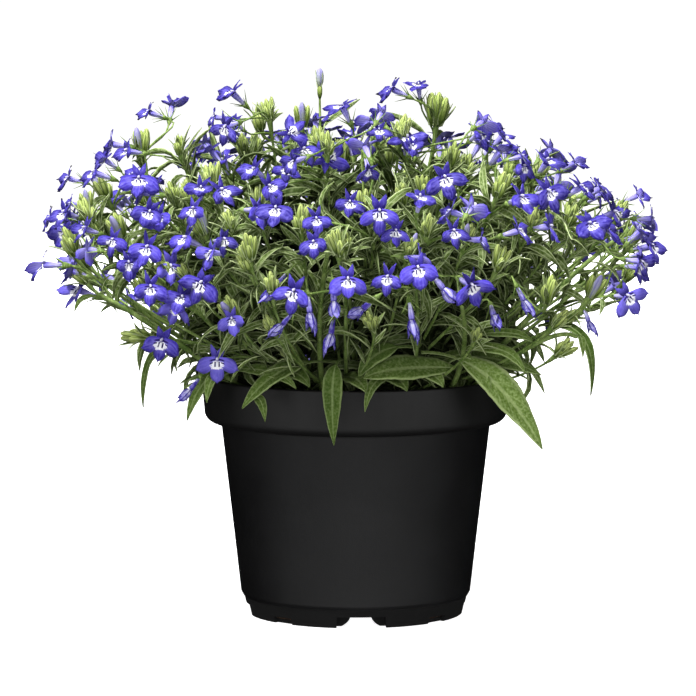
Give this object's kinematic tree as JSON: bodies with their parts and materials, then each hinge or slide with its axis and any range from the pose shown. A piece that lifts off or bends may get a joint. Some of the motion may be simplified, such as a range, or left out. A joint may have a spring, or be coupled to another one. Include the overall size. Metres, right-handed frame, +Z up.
{
  "type": "trailing lobelia",
  "caption": "Trailing lobelia with a dome of small two-lipped blue flowers on thin leafy stems, rooted in soil in a round black plastic nursery pot with drain notches.",
  "frame": {"origin": "middle of the circle that the pot stands on", "axes": "+Z up along the pot's axis, -Y towards the side shown as the front, +X to the right of that side"},
  "size_m": [0.2499, 0.2372, 0.2108],
  "materials": {
    "pot_plastic": "black injection-moulded polypropylene, satin, with faint draw marks",
    "potting_soil": "moist peat and bark potting soil, crumbly and matt",
    "stem_green": "light green, slightly ribbed and downy stems",
    "leaf_green": "mid green leaves, soft sheen, pale midrib and edge",
    "bud_green": "yellow-green buds and bracts",
    "petal_blue": "violet-blue velvety petals with a white eye, paler behind"
  },
  "bodies": {
    "root": {"pot": "pot_plastic", "potting_soil": "potting_soil", "shoot_01": "stem_green", "shoot_02": "stem_green", "shoot_03": "stem_green", "shoot_04": "stem_green", "shoot_05": "stem_green", "shoot_06": "stem_green", "shoot_07": "stem_green", "shoot_08": "stem_green", "shoot_09": "stem_green", "shoot_10": "stem_green", "shoot_11": "stem_green", "shoot_12": "stem_green", "shoot_13": "stem_green", "shoot_14": "stem_green", "shoot_15": "stem_green", "flower_01": "petal_blue", "flower_02": "petal_blue", "flower_03": "petal_blue", "flower_04": "petal_blue", "flower_05": "petal_blue", "flower_06": "petal_blue", "flower_07": "petal_blue", "flower_08": "petal_blue", "flower_09": "petal_blue", "flower_10": "petal_blue", "flower_11": "petal_blue", "flower_12": "petal_blue", "flower_13": "petal_blue", "flower_14": "petal_blue", "flower_15": "petal_blue", "flower_16": "petal_blue", "flower_17": "petal_blue", "flower_18": "petal_blue", "flower_19": "petal_blue", "flower_20": "petal_blue", "flower_21": "petal_blue", "flower_22": "petal_blue", "flower_23": "petal_blue", "flower_24": "petal_blue", "flower_25": "petal_blue", "flower_26": "petal_blue", "bud_cluster_01": "bud_green", "bud_cluster_02": "bud_green", "bud_cluster_03": "bud_green", "bud_cluster_04": "bud_green", "bud_cluster_05": "bud_green", "bud_cluster_06": "bud_green", "bud_cluster_07": "bud_green", "bud_cluster_08": "bud_green", "rim_leaf_01": "leaf_green", "rim_leaf_02": "leaf_green", "rim_leaf_03": "leaf_green", "rim_leaf_04": "leaf_green", "rim_leaf_05": "leaf_green", "rim_leaf_06": "leaf_green", "rim_leaf_07": "leaf_green", "rim_leaf_08": "leaf_green", "rim_leaf_09": "leaf_green"}
  },
  "joints": []
}
